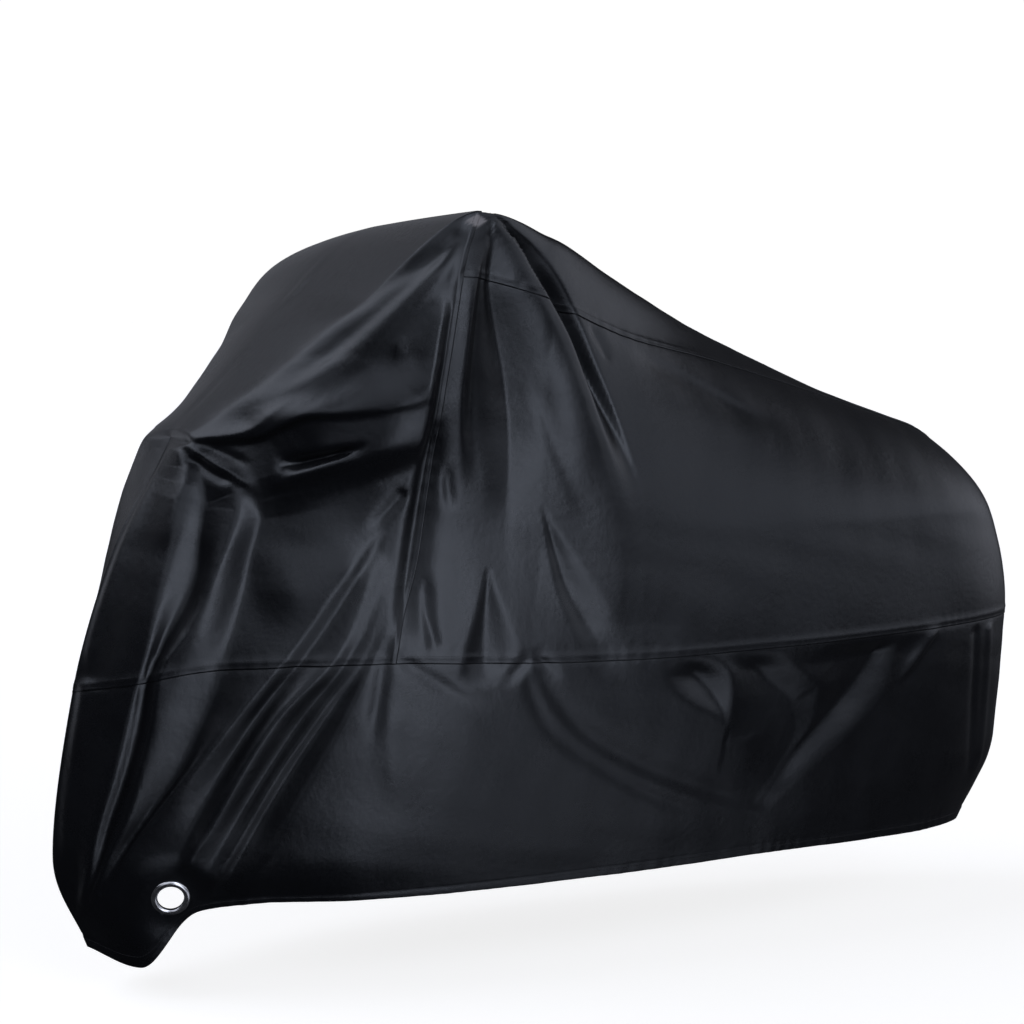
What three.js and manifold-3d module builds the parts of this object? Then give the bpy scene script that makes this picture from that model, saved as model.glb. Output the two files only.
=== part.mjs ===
// A fitted fabric cover, draped and hollow, carried by two peaks under its top.
//
// The cloth is one surface. Guide lines at seven heights run from nose to tail on each side, a
// smooth skin passes through them, and folds are pressed into that skin. The sewn panels are cut
// from the skin along the seams and thickened into sheets, and a metal eyelet sits in each skirt.
//
// Millimetres. X runs from nose to tail, Y from the left side to the right side, Z up. The tables
// measure X from a point 390 in front of the left peak's seam, and Z from the ground.

import * as THREE from "three";
import { mergeVertices } from "three/addons/utils/BufferGeometryUtils.js";
import Module from "manifold-3d";

const wasm = await Module();
wasm.setup();

// Cloth
const THICKNESS = 2;
const SEAM_INSET = 0.25;

// Hem: level along the sides, hanging lower in front and a little lower towards the tail
const HEM_HEIGHT = 187;
const HEM_DIP = { depth: 139, at: 0.025, reach: 0.04 };
const HEM_TAIL = { drop: 28, from: 0.6 };

// Belt seam: it dips to the nose, and rises a little below the peaks
const BELT_DIP = { depth: 45, reach: 0.05 };
const BELT_RISE = { height: 20, at: 0.22, reach: 0.14 };

// Peaks, which carry the cloth: the right one is lower, further forward and further in
const PEAKS = { station: 4, reach: 0.12, drop: 86, forward: 68, inward: 20, middleForward: 20 };
// Right corner of the nose, pushed forward by the same turn
const NOSE_CORNER = { station: 1, forward: { side: 40, seam: 25, crest: 20 }, outward: 25 };

// Eyelets, one in each skirt near the front hem
const EYELET = { station: 1.77, share: 0.07, bore: 24.5, wall: 1.4, flange: 36.5, backFlange: 33, dome: 4.2 };
const EYELET_BACK_THICKNESS = 1.2;
const EYELET_CLEARANCE = 0.3;
const EYELET_SIDES = 36;
const EYELET_DOME_STEPS = 7;
const DRILL_LENGTH = 40;
// The cloth is pulled flat around an eyelet, and is back to its own shape at the outer radius
const FLAT_ZONE = { inner: 98, outer: 170 };

// Colours of the two materials
const CLOTH_COLOUR = 0x2a2c33;
const STEEL_COLOUR = 0xb9bcc2;

// Guide levels from the hem up. share: place in a section, 0 at the hem and 1 at the ridge.
// The four lower levels follow one plan outline, scaled to each level's nose, tail and half width.
// blunt: below 1 it rounds the nose off. rows: grid rows up to the next level.
const LEVELS = [
  {
    name: "hem", share: 0, rows: 4,
    noseX: -212, tailX: 1800, half: 300, noseZ: 0, tailZ: 0, blunt: 1,
  },
  {
    name: "skirt", share: 0.16, rows: 5,
    noseX: -277, tailX: 1893, half: 332, noseZ: 270, tailZ: 340, blunt: 1,
  },
  {
    name: "belt", share: 0.36, rows: 4,
    noseX: -232, tailX: 1903, half: 382, noseZ: 630, tailZ: 625, blunt: 0.95,
  },
  {
    name: "side", share: 0.55, rows: 9,
    noseX: -140, tailX: 1838, half: 365, noseZ: 865, tailZ: 850, blunt: 0.8,
  },
  { name: "seam", share: 0.8, rows: 3 },
  { name: "crest", share: 0.9, rows: 4 },
  { name: "ridge", share: 1, rows: 0 },
];
const [HEM, , BELT, SIDE, SEAM, CREST, RIDGE] = LEVELS.keys();

// Stations from nose to tail. along: share of a level's length. breadth: share of its half width.
// seam and crest: the top seam and the highest line of a side, as x, distance from the centre plane
// and z. ridge: height on the centre plane. columns: grid columns up to the next station.
const STATIONS = [
  { along: 0, breadth: 0, seam: [-60, 0, 1000], crest: [-35, 0, 1048], ridge: 1048, columns: 3 },
  { along: 0.038, breadth: 0.27, seam: [-45, 75, 1000], crest: [-30, 60, 1050], ridge: 1060, columns: 3 },
  { along: 0.085, breadth: 0.48, seam: [60, 190, 1050], crest: [65, 150, 1130], ridge: 1150, columns: 4 },
  { along: 0.155, breadth: 0.685, seam: [180, 290, 1150], crest: [190, 250, 1255], ridge: 1280, columns: 5 },
  { along: 0.234, breadth: 0.877, seam: [372, 405, 1354], crest: [410, 400, 1462], ridge: 1445, columns: 10 },
  { along: 0.342, breadth: 0.973, seam: [550, 365, 1318], crest: [610, 300, 1422], ridge: 1385, columns: 9 },
  { along: 0.483, breadth: 1, seam: [800, 260, 1240], crest: [860, 145, 1332], ridge: 1310, columns: 5 },
  { along: 0.647, breadth: 0.93, seam: [1080, 150, 1182], crest: [1140, 40, 1222], ridge: 1222, columns: 4 },
  { along: 0.81, breadth: 0.74, seam: [1400, 75, 1100], crest: [1420, 30, 1110], ridge: 1112, columns: 4 },
  { along: 0.913, breadth: 0.54, seam: [1570, 55, 1052], crest: [1580, 30, 1058], ridge: 1060, columns: 3 },
  { along: 0.974, breadth: 0.32, seam: [1680, 40, 1018], crest: [1670, 20, 1030], ridge: 1031, columns: 2 },
  { along: 0.995, breadth: 0.145, seam: [1732, 20, 985], crest: [1700, 10, 1015], ridge: 1015, columns: 1 },
  { along: 1, breadth: 0, seam: [1750, 0, 975], crest: [1715, 0, 1008], ridge: 1008, columns: 0 },
];

// Folds, drawn on the side view as an arc from one point (x, z) to another. bow: how far the arc's
// middle stands off the straight line. width: half width at its start and end. depth: out of the
// cloth if positive, into it if negative.
const LEFT_FOLDS = [
  // side: a fan that spreads down and back from the left peak
  { from: [417, 1372], to: [420, 990], bow: 14, width: [28, 44], depth: -18 },
  { from: [453, 1370], to: [548, 940], bow: -18, width: [28, 42], depth: 16 },
  { from: [533, 1187], to: [683, 873], bow: 0, width: [26, 36], depth: -10 },
  { from: [480, 1410], to: [752, 850], bow: -12, width: [34, 64], depth: 25 },
  { from: [473, 1435], to: [760, 997], bow: -30, width: [32, 46], depth: -30 },
  { from: [453, 810], to: [448, 600], bow: 0, width: [20, 46], depth: -14 },
  { from: [800, 1216], to: [1323, 1024], bow: 30, width: [40, 56], depth: -14 },
  // hood: a deep crease from the nose to the upright seam, a pocket and a wide hollow below it
  { from: [-25, 1038], to: [310, 1104], bow: 14, width: [34, 40], depth: -24 },
  { from: [70, 1000], to: [230, 1036], bow: 0, width: [26, 28], depth: -20 },
  { from: [230, 1010], to: [30, 540], bow: 0, width: [70, 110], depth: -26 },
  // nose: two rounded bands that hang from its point, with troughs beside them
  { from: [-46, 1004], to: [-185, 560], bow: -8, width: [26, 30], depth: -12 },
  { from: [-35, 1022], to: [-140, 580], bow: -20, width: [26, 32], depth: 14 },
  { from: [-18, 956], to: [-115, 630], bow: -15, width: [26, 26], depth: -12 },
  { from: [46, 975], to: [-110, 590], bow: -17, width: [28, 32], depth: 18 },
  // skirt: pulled from the upright seam down to the eyelet, and from the belt seam to the nose
  { from: [-199, 595], to: [-244, 227], bow: -5, width: [26, 26], depth: -10 },
  { from: [-66, 665], to: [-214, 193], bow: 0, width: [30, 26], depth: 14 },
  { from: [-25, 600], to: [-174, 273], bow: 0, width: [28, 26], depth: -10 },
  { from: [155, 672], to: [-67, 329], bow: 0, width: [28, 24], depth: -16 },
  { from: [185, 676], to: [-56, 282], bow: 0, width: [26, 26], depth: 14 },
  { from: [248, 610], to: [0, 221], bow: 0, width: [26, 28], depth: -14 },
  // skirt: a long sagging fold and the slack under the belt seam
  { from: [530, 660], to: [1160, 275], bow: 100, width: [30, 36], depth: -8 },
  { from: [850, 655], to: [982, 480], bow: -55, width: [28, 28], depth: 11 },
  { from: [985, 655], to: [1175, 470], bow: 0, width: [42, 30], depth: -15 },
  { from: [1445, 660], to: [1100, 385], bow: -42, width: [32, 34], depth: -16 },
  { from: [1585, 600], to: [1530, 340], bow: 0, width: [50, 50], depth: -14 },
  { from: [1690, 670], to: [1747, 242], bow: 0, width: [26, 28], depth: -10 },
];
const RIGHT_FOLDS = [
  { from: [365, 1345], to: [340, 950], bow: 14, width: [26, 40], depth: -14 },
  { from: [400, 1320], to: [540, 900], bow: -14, width: [30, 48], depth: 20 },
  { from: [430, 1350], to: [700, 880], bow: -22, width: [30, 48], depth: -28 },
  { from: [520, 1310], to: [830, 860], bow: -18, width: [34, 56], depth: 15 },
  { from: [900, 1180], to: [1360, 980], bow: 40, width: [40, 60], depth: -12 },
  { from: [-30, 1020], to: [300, 1060], bow: 22, width: [40, 52], depth: -24 },
  { from: [-30, 1010], to: [10, 660], bow: -45, width: [28, 44], depth: 14 },
  { from: [220, 630], to: [-75, 270], bow: 24, width: [30, 28], depth: 13 },
  { from: [150, 600], to: [-40, 350], bow: 12, width: [28, 26], depth: -12 },
  { from: [610, 610], to: [1290, 260], bow: 95, width: [36, 42], depth: -12 },
  { from: [1130, 600], to: [1210, 380], bow: 0, width: [40, 46], depth: -14 },
  { from: [1520, 615], to: [1230, 390], bow: -45, width: [36, 44], depth: 12 },
];
// Folds fade out at both ends, and before the centre plane
const FOLD_FADE = { start: 0.12, end: 0.3, centre: 50 };
const FOLD_STEPS = 14;

// Smooth step from 0 at low to 1 at high.
const ease = (value, low, high) => THREE.MathUtils.smoothstep(value, low, high);

// Bell curve of height 1 around a centre.
const bell = (value, centre, reach) => Math.exp(-(((value - centre) / reach) ** 2));

// Slope at an inner knot from the slopes a and b on its two sides, over lengths h and k. It is their
// weighted harmonic mean, or zero at a peak, so that the curve never overshoots its points.
function knotSlope(a, b, h, k) {
  if (a * b <= 0) return 0;
  const before = 2 * k + h;
  const after = k + 2 * h;
  return (before + after) / (before / a + after / b);
}

// Cubic curve through points, arrays of three numbers, at increasing knots.
function smoothCurve(knots, points) {
  const last = knots.length - 1;
  const lengths = knots.slice(1).map((knot, i) => knot - knots[i]);
  const slopes = points[0].map((_, axis) => {
    const rises = lengths.map((length, i) => (points[i + 1][axis] - points[i][axis]) / length);
    const inner = rises.slice(1).map((rise, i) => knotSlope(rises[i], rise, lengths[i], lengths[i + 1]));
    return [rises[0], ...inner, rises[last - 1]];
  });
  return (at) => {
    const found = knots.findLastIndex((knot) => knot <= at);
    const i = THREE.MathUtils.clamp(found, 0, last - 1);
    const t = (at - knots[i]) / lengths[i];
    const rest = 1 - t;
    return slopes.map((slope, axis) => {
      const start = points[i][axis] * (1 + 2 * t) + slope[i] * lengths[i] * t;
      const end = points[i + 1][axis] * (3 - 2 * t) - slope[i + 1] * lengths[i] * rest;
      return start * rest * rest + end * t * t;
    });
  };
}

// Point of one guide level at one station, with y as the distance from the centre plane.
function guidePoint(level, index, onRight) {
  const station = STATIONS[index];
  const { along, breadth } = station;
  const nearPeaks = bell(along, STATIONS[PEAKS.station].along, PEAKS.reach);
  if (level === RIDGE) return [station.crest[0] - PEAKS.middleForward * nearPeaks, 0, station.ridge];
  if (level >= SEAM) {
    const [x, y, z] = level === SEAM ? station.seam : station.crest;
    if (!onRight) return [x, y, z];
    const corner = index === NOSE_CORNER.station;
    const push = corner ? NOSE_CORNER.forward[LEVELS[level].name] : 0;
    const spread = corner ? NOSE_CORNER.outward : 0;
    return [
      x - PEAKS.forward * nearPeaks - push,
      y - PEAKS.inward * nearPeaks + spread,
      z - PEAKS.drop * nearPeaks,
    ];
  }
  const { noseX, tailX, half, noseZ, tailZ, blunt } = LEVELS[level];
  const push = onRight && level === SIDE && index === NOSE_CORNER.station ? NOSE_CORNER.forward.side : 0;
  const hemDip = HEM_DIP.depth * bell(along, HEM_DIP.at, HEM_DIP.reach);
  const hemZ = HEM_HEIGHT - hemDip - HEM_TAIL.drop * ease(along, HEM_TAIL.from, 1);
  const beltRise = BELT_RISE.height * bell(along, BELT_RISE.at, BELT_RISE.reach);
  const beltBend = level === BELT ? beltRise - BELT_DIP.depth * bell(along, 0, BELT_DIP.reach) : 0;
  return [
    THREE.MathUtils.lerp(noseX, tailX, along) - push,
    half * breadth ** blunt,
    level === HEM ? hemZ : THREE.MathUtils.lerp(noseZ, tailZ, along) + beltBend,
  ];
}

// The guide lines in section order: up the left side, over the ridge and down the right side.
const stationKnots = [...STATIONS.keys()];
const guides = [
  ...LEVELS.map((level, k) => ({ share: level.share, level: k, onRight: false })),
  ...LEVELS.slice(0, RIDGE).map((level, k) => ({ share: 2 - level.share, level: k, onRight: true }))
    .reverse(),
].map(({ share, level, onRight }) => {
  const points = STATIONS.map((_, index) => {
    const [x, y, z] = guidePoint(level, index, onRight);
    return [x, onRight ? y : -y, z];
  });
  return { share, line: smoothCurve(stationKnots, points) };
});

// Section of the skin at a place between stations: a curve over shares 0 to 2.
function sectionAt(station) {
  return smoothCurve(guides.map((guide) => guide.share), guides.map((guide) => guide.line(station)));
}

// Even steps between neighbouring values, with counts[i] steps after value i.
function steps(values, counts) {
  const inner = values.slice(0, -1).flatMap((value, i) =>
    Array.from({ length: counts[i] }, (_, k) => THREE.MathUtils.lerp(value, values[i + 1], k / counts[i])));
  return [...inner, values.at(-1)];
}

const columns = steps(stationKnots, STATIONS.map((station) => station.columns));
const halfRows = steps(LEVELS.map((level) => level.share), LEVELS.map((level) => level.rows));
const rows = [...halfRows, ...halfRows.slice(0, -1).map((share) => 2 - share).reverse()];
const lastColumn = columns.length - 1;
const lastRow = rows.length - 1;
const rowOf = (level) => halfRows.indexOf(LEVELS[level].share);
const peakColumn = columns.indexOf(PEAKS.station);

// A fold with its arc as a polyline on the side view.
function drawFold(fold) {
  const from = new THREE.Vector2(...fold.from);
  const to = new THREE.Vector2(...fold.to);
  const line = to.clone().sub(from).normalize();
  const aside = new THREE.Vector2(line.y, -line.x).multiplyScalar(2 * fold.bow);
  const middle = from.clone().add(to).multiplyScalar(0.5).add(aside);
  return { ...fold, path: new THREE.QuadraticBezierCurve(from, middle, to).getPoints(FOLD_STEPS) };
}
const drawnFolds = { left: LEFT_FOLDS.map(drawFold), right: RIGHT_FOLDS.map(drawFold) };

// Distance from a side-view point to a fold's arc, and how far along the arc that is, 0 to 1.
function alongFold(path, point) {
  let best = { distance: Infinity, share: 0 };
  for (let i = 0; i < path.length - 1; i += 1) {
    const reach = path[i + 1].clone().sub(path[i]);
    const t = THREE.MathUtils.clamp(point.clone().sub(path[i]).dot(reach) / reach.lengthSq(), 0, 1);
    const distance = point.distanceTo(path[i].clone().addScaledVector(reach, t));
    if (distance < best.distance) best = { distance, share: (i + t) / (path.length - 1) };
  }
  return best;
}

// Height of all folds at a point of the skin.
function foldHeight(point) {
  const onSide = new THREE.Vector2(point.x, point.z);
  const folds = drawnFolds[point.y < 0 ? "left" : "right"];
  const total = folds.reduce((sum, { path, width, depth }) => {
    const { distance, share } = alongFold(path, onSide);
    const fade = ease(share, 0, FOLD_FADE.start) * (1 - ease(share, 1 - FOLD_FADE.end, 1));
    return sum + depth * fade * bell(distance, 0, THREE.MathUtils.lerp(...width, share));
  }, 0);
  return total * ease(Math.abs(point.y), 0, FOLD_FADE.centre);
}

// Points of the unfolded skin, column by column, and the height of the folds at each.
const sections = columns.map(sectionAt);
const skinPoints = sections.flatMap((section) => rows.map((share) => new THREE.Vector3(...section(share))));
const foldHeights = skinPoints.map(foldHeight);

// The two sides share their points on the nose and tail lines, and the crests end in one point there.
function vertexId(column, row) {
  const closed = column === 0 || column === lastColumn;
  return column * rows.length + (closed ? Math.min(row, lastRow - row, rowOf(CREST)) : row);
}

// Name of the panel that a cell of the grid belongs to.
function panelOf(column, row) {
  const hand = row < lastRow / 2 ? "left" : "right";
  const height = Math.min(row, lastRow - 1 - row);
  if (height < rowOf(BELT)) return `skirt_${hand}`;
  if (column < peakColumn) return "hood";
  return height < rowOf(SEAM) ? `side_${hand}` : "top_panel";
}

// Triangles of the whole skin with outward winding, kept by panel. A cell is split along the diagonal
// whose ends are closer in fold height, so that the edges run along the folds.
const panels = new Map();
for (let column = 0; column < lastColumn; column += 1) {
  for (let row = 0; row < lastRow; row += 1) {
    const near = vertexId(column, row);
    const ahead = vertexId(column + 1, row);
    const above = vertexId(column, row + 1);
    const across = vertexId(column + 1, row + 1);
    const name = panelOf(column, row);
    if (!panels.has(name)) panels.set(name, []);
    const rise = Math.abs(foldHeights[near] - foldHeights[across]);
    const otherRise = Math.abs(foldHeights[ahead] - foldHeights[above]);
    const split = rise <= otherRise
      ? [[near, ahead, across], [near, across, above]]
      : [[near, ahead, above], [ahead, across, above]];
    for (const triangle of split) {
      if (new Set(triangle).size === 3) panels.get(name).push(triangle);
    }
  }
}

// The skin as an indexed geometry, with a normal at each vertex.
const skin = new THREE.BufferGeometry();
const coordinates = skinPoints.flatMap((point) => point.toArray());
skin.setAttribute("position", new THREE.Float32BufferAttribute(coordinates, 3));
skin.setIndex([...panels.values()].flat(2));
skin.computeVertexNormals();

const pointAt = (id) => new THREE.Vector3().fromBufferAttribute(skin.attributes.position, id);
const normalAt = (id) => new THREE.Vector3().fromBufferAttribute(skin.attributes.normal, id);

// Where each eyelet sits: its centre on the unfolded skin and the outward normal there.
function eyeletSeat(hand) {
  const share = hand === "left" ? EYELET.share : 2 - EYELET.share;
  const step = 0.01;
  const at = (station, level) => new THREE.Vector3(...sectionAt(station)(level));
  const alongSkin = at(EYELET.station + step, share).sub(at(EYELET.station - step, share));
  const upSkin = at(EYELET.station, share + step).sub(at(EYELET.station, share - step));
  return { hand, centre: at(EYELET.station, share), normal: alongSkin.cross(upSkin).normalize() };
}
const seats = ["left", "right"].map(eyeletSeat);

// Press the folds into the skin, then pull the cloth flat around the eyelets.
const used = new Set([...panels.values()].flat(2));
for (const id of used) {
  const point = pointAt(id);
  point.addScaledVector(normalAt(id), foldHeights[id]);
  for (const { centre, normal } of seats) {
    const offset = point.clone().sub(centre);
    const pull = 1 - ease(offset.length(), FLAT_ZONE.inner, FLAT_ZONE.outer);
    point.addScaledVector(normal, -pull * offset.dot(normal));
  }
  skin.attributes.position.setXYZ(id, ...point);
}
skin.computeVertexNormals();

// A closed sheet from some of the skin's triangles: the outer face, the inner face one thickness in,
// and a wall along every free edge. Edge points draw back a little, which leaves the seam's gap.
function sheetGeometry(triangles) {
  const ids = [...new Set(triangles.flat())];
  const place = new Map(ids.map((id, k) => [id, k]));
  const edges = new Set();
  const inward = new Map();
  for (const triangle of triangles) {
    const middle = triangle.reduce((sum, id) => sum.add(pointAt(id)), new THREE.Vector3()).divideScalar(3);
    triangle.forEach((id, k) => {
      edges.add(`${id} ${triangle[(k + 1) % 3]}`);
      const pull = inward.get(id) ?? new THREE.Vector3();
      inward.set(id, pull.add(middle).sub(pointAt(id)));
    });
  }
  const freeEdges = [...edges].map((edge) => edge.split(" ").map(Number))
    .filter(([a, b]) => !edges.has(`${b} ${a}`));
  const freeIds = new Set(freeEdges.flat());
  const outer = ids.map((id) => {
    const draw = freeIds.has(id) ? SEAM_INSET : 0;
    return pointAt(id).addScaledVector(inward.get(id).normalize(), draw);
  });
  const inner = outer.map((point, k) => point.clone().addScaledVector(normalAt(ids[k]), -THICKNESS));
  const count = ids.length;
  const faces = triangles.flatMap((triangle) => {
    const [a, b, c] = triangle.map((id) => place.get(id));
    return [a, b, c, c + count, b + count, a + count];
  });
  // Both sheets at a seam split their walls on the same diagonal, so that twisted walls stay apart.
  const walls = freeEdges.flatMap((edge) => {
    const [a, b] = edge.map((id) => place.get(id));
    if (edge[0] < edge[1]) return [b, a, a + count, b, a + count, b + count];
    return [b, a, b + count, a, a + count, b + count];
  });
  const geometry = new THREE.BufferGeometry();
  const corners = [...outer, ...inner].flatMap((point) => point.toArray());
  geometry.setAttribute("position", new THREE.Float32BufferAttribute(corners, 3));
  geometry.setIndex([...faces, ...walls]);
  return geometry;
}

// A closed geometry as a solid for cutting, and back.
function toSolid(geometry) {
  const bare = geometry.clone();
  bare.deleteAttribute("normal");
  bare.deleteAttribute("uv");
  const merged = mergeVertices(bare);
  const triVerts = Uint32Array.from(merged.index.array);
  const vertProperties = Float32Array.from(merged.attributes.position.array);
  return new wasm.Manifold(new wasm.Mesh({ numProp: 3, vertProperties, triVerts }));
}
function fromSolid(solid) {
  const mesh = solid.getMesh();
  const geometry = new THREE.BufferGeometry();
  geometry.setAttribute("position", new THREE.Float32BufferAttribute(mesh.vertProperties, 3));
  geometry.setIndex(Array.from(mesh.triVerts));
  geometry.computeVertexNormals();
  return geometry;
}

// Turns geometry built around +Y to stand on an eyelet's seat.
const UP = new THREE.Vector3(0, 1, 0);
const seatTurn = (seat) => new THREE.Quaternion().setFromUnitVectors(UP, seat.normal);

// A skirt with the round hole for its eyelet.
const BARREL = EYELET.bore + EYELET.wall;
function skirtGeometry(seat) {
  const radius = BARREL + EYELET_CLEARANCE;
  const drill = new THREE.CylinderGeometry(radius, radius, DRILL_LENGTH, EYELET_SIDES);
  drill.applyQuaternion(seatTurn(seat)).translate(...seat.centre);
  return fromSolid(toSolid(sheetGeometry(panels.get(`skirt_${seat.hand}`))).subtract(toSolid(drill)));
}

// An eyelet: a domed flange outside, a flat one inside and the barrel between, turned about +Y.
function eyeletGeometry() {
  const front = EYELET_CLEARANCE;
  const back = -THICKNESS - EYELET_CLEARANCE;
  const middle = (EYELET.bore + EYELET.flange) / 2;
  const halfWidth = (EYELET.flange - EYELET.bore) / 2;
  const dome = new THREE.EllipseCurve(middle, front, halfWidth, EYELET.dome, 0, Math.PI);
  const profile = [
    new THREE.Vector2(EYELET.bore, back - EYELET_BACK_THICKNESS),
    new THREE.Vector2(EYELET.backFlange, back - EYELET_BACK_THICKNESS),
    new THREE.Vector2(EYELET.backFlange, back),
    new THREE.Vector2(BARREL, back),
    new THREE.Vector2(BARREL, front),
    ...dome.getPoints(EYELET_DOME_STEPS),
    new THREE.Vector2(EYELET.bore, back - EYELET_BACK_THICKNESS),
  ];
  return new THREE.LatheGeometry(profile, EYELET_SIDES);
}

const cover = new THREE.Group();

function addPiece(name, geometry, material) {
  const mesh = new THREE.Mesh(geometry, material);
  mesh.name = name;
  cover.add(mesh);
  return mesh;
}

const cloth = () => new THREE.MeshStandardMaterial({ color: CLOTH_COLOUR, roughness: 0.5, metalness: 0 });
const steel = () => new THREE.MeshStandardMaterial({ color: STEEL_COLOUR, roughness: 0.25, metalness: 1 });

for (const name of ["hood", "top_panel", "side_left", "side_right"]) {
  addPiece(name, sheetGeometry(panels.get(name)), cloth());
}
for (const seat of seats) {
  addPiece(`skirt_${seat.hand}`, skirtGeometry(seat), cloth());
  const eyelet = addPiece(`eyelet_${seat.hand}`, eyeletGeometry(), steel());
  eyelet.position.copy(seat.centre);
  eyelet.quaternion.copy(seatTurn(seat));
}

// The origin lies under the ridge between the two peaks, where the cover is carried.
const carried = new THREE.Vector3(...sectionAt(PEAKS.station)(LEVELS[RIDGE].share));
cover.position.set(-carried.x, -carried.y, THICKNESS - carried.z);

export default cover;
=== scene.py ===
import bmesh
import bpy
import numpy as np
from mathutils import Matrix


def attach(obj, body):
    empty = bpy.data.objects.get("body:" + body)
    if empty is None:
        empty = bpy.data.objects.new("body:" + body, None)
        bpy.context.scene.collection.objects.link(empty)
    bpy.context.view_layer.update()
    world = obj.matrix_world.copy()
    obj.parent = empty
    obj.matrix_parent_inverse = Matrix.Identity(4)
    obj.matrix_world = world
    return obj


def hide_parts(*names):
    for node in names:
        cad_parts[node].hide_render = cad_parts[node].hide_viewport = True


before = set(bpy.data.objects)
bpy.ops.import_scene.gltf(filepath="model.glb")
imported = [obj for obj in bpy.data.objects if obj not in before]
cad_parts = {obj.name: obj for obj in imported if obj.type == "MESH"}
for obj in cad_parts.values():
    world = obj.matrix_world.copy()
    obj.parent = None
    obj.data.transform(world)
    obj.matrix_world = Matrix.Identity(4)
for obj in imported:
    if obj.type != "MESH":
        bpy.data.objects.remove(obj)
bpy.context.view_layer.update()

# Hood. One cut of coated polyester runs over the nose, from the belt seam up, and ends at the two
# upright seams below the peaks. It hangs from the peaks, so its creases spread from them, and a deep
# crease runs back from the brow of the nose, where the cloth sinks in.
MM = 0.001
ORIGIN = np.array([390, 0, 1443])
CLOTH_THICKNESS = 1.2
CELL = 6.2

# Places in a section, 0 at the hem and 1 at the ridge, of the seven guide levels
HEM, SKIRT, BELT, SIDE, SEAM, CREST, RIDGE = 0, 0.16, 0.36, 0.55, 0.8, 0.9, 1
LEVEL_SHARES = np.array([HEM, SKIRT, BELT, SIDE, SEAM, CREST, RIDGE])
# The four lower levels: nose x, tail x, half width, nose z, tail z, blunt
LOWER_LEVELS = np.array([
    (-212, 1800, 300, 0, 0, 1),
    (-277, 1893, 332, 270, 340, 1),
    (-232, 1903, 382, 630, 625, 0.95),
    (-140, 1838, 365, 865, 850, 0.8),
])
HEM_HEIGHT, HEM_DIP, HEM_DIP_AT, HEM_DIP_REACH = 187, 139, 0.025, 0.04
HEM_TAIL_DROP, HEM_TAIL_FROM = 28, 0.6
BELT_DIP, BELT_DIP_REACH, BELT_RISE, BELT_RISE_AT, BELT_RISE_REACH = 45, 0.05, 20, 0.22, 0.14
# Stations from nose to tail: along, breadth, then x, y, z of the top seam and of the crest, and ridge z
STATIONS = np.array([
    (0, 0, -60, 0, 1000, -35, 0, 1048, 1048),
    (0.038, 0.27, -45, 75, 1000, -30, 60, 1050, 1060),
    (0.085, 0.48, 60, 190, 1050, 65, 150, 1130, 1150),
    (0.155, 0.685, 180, 290, 1150, 190, 250, 1255, 1280),
    (0.234, 0.877, 372, 405, 1354, 410, 400, 1462, 1445),
    (0.342, 0.973, 550, 365, 1318, 610, 300, 1422, 1385),
    (0.483, 1, 800, 260, 1240, 860, 145, 1332, 1310),
    (0.647, 0.93, 1080, 150, 1182, 1140, 40, 1222, 1222),
    (0.81, 0.74, 1400, 75, 1100, 1420, 30, 1110, 1112),
    (0.913, 0.54, 1570, 55, 1052, 1580, 30, 1058, 1060),
    (0.974, 0.32, 1680, 40, 1018, 1670, 20, 1030, 1031),
    (0.995, 0.145, 1732, 20, 985, 1700, 10, 1015, 1015),
    (1, 0, 1750, 0, 975, 1715, 0, 1008, 1008),
])
NOSE, BROW, PEAKS, TAIL = 0, 1, 4, 12
# The two peaks carry the cloth: the right one is lower, further forward and further in
PEAK_TURN = np.array([-68, -20, -86])
PEAK_REACH, RIDGE_FORWARD = 0.12, 20
BROW_PUSH = np.array([(-40, 0, 0), (-25, 25, 0), (-20, 25, 0)])


def ease(value, low, high):
    """Smooth step from 0 at low to 1 at high: 3t^2 - 2t^3."""
    t = np.clip((value - low) / (high - low), 0, 1)
    return t * t * (3 - 2 * t)


def bell(value, centre, reach):
    """Bell curve of height 1 around a centre: exp(-((value - centre) / reach)^2)."""
    return np.exp(-(((value - centre) / reach) ** 2))


def smooth_curve(knots, values, at):
    """Cubic through values at the knots. The slope at a knot is the weighted harmonic mean of the rises
    on its two sides, or zero at a peak, so that the curve never overshoots."""
    def column(a):
        return np.reshape(a, (-1,) + (1,) * (values.ndim - 1))
    length = column(np.diff(knots))
    rise = np.diff(values, axis=0) / length
    before, after = rise[:-1], rise[1:]
    heavy, light = 2 * length[1:] + length[:-1], length[1:] + 2 * length[:-1]
    same = before * after > 0
    mean = heavy / np.where(same, before, 1) + light / np.where(same, after, 1)
    inner = np.where(same, (heavy + light) / np.where(same, mean, 1), 0)
    slope = np.concatenate([rise[:1], inner, rise[-1:]])
    i = np.clip(np.searchsorted(knots, at, side="right") - 1, 0, len(knots) - 2)
    t = column((at - knots[i]) / (knots[i + 1] - knots[i]))
    start = values[i] * (1 + 2 * t) + slope[i] * length[i] * t
    end = values[i + 1] * (3 - 2 * t) - slope[i + 1] * length[i] * (1 - t)
    return start * (1 - t) ** 2 + end * t * t


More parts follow.
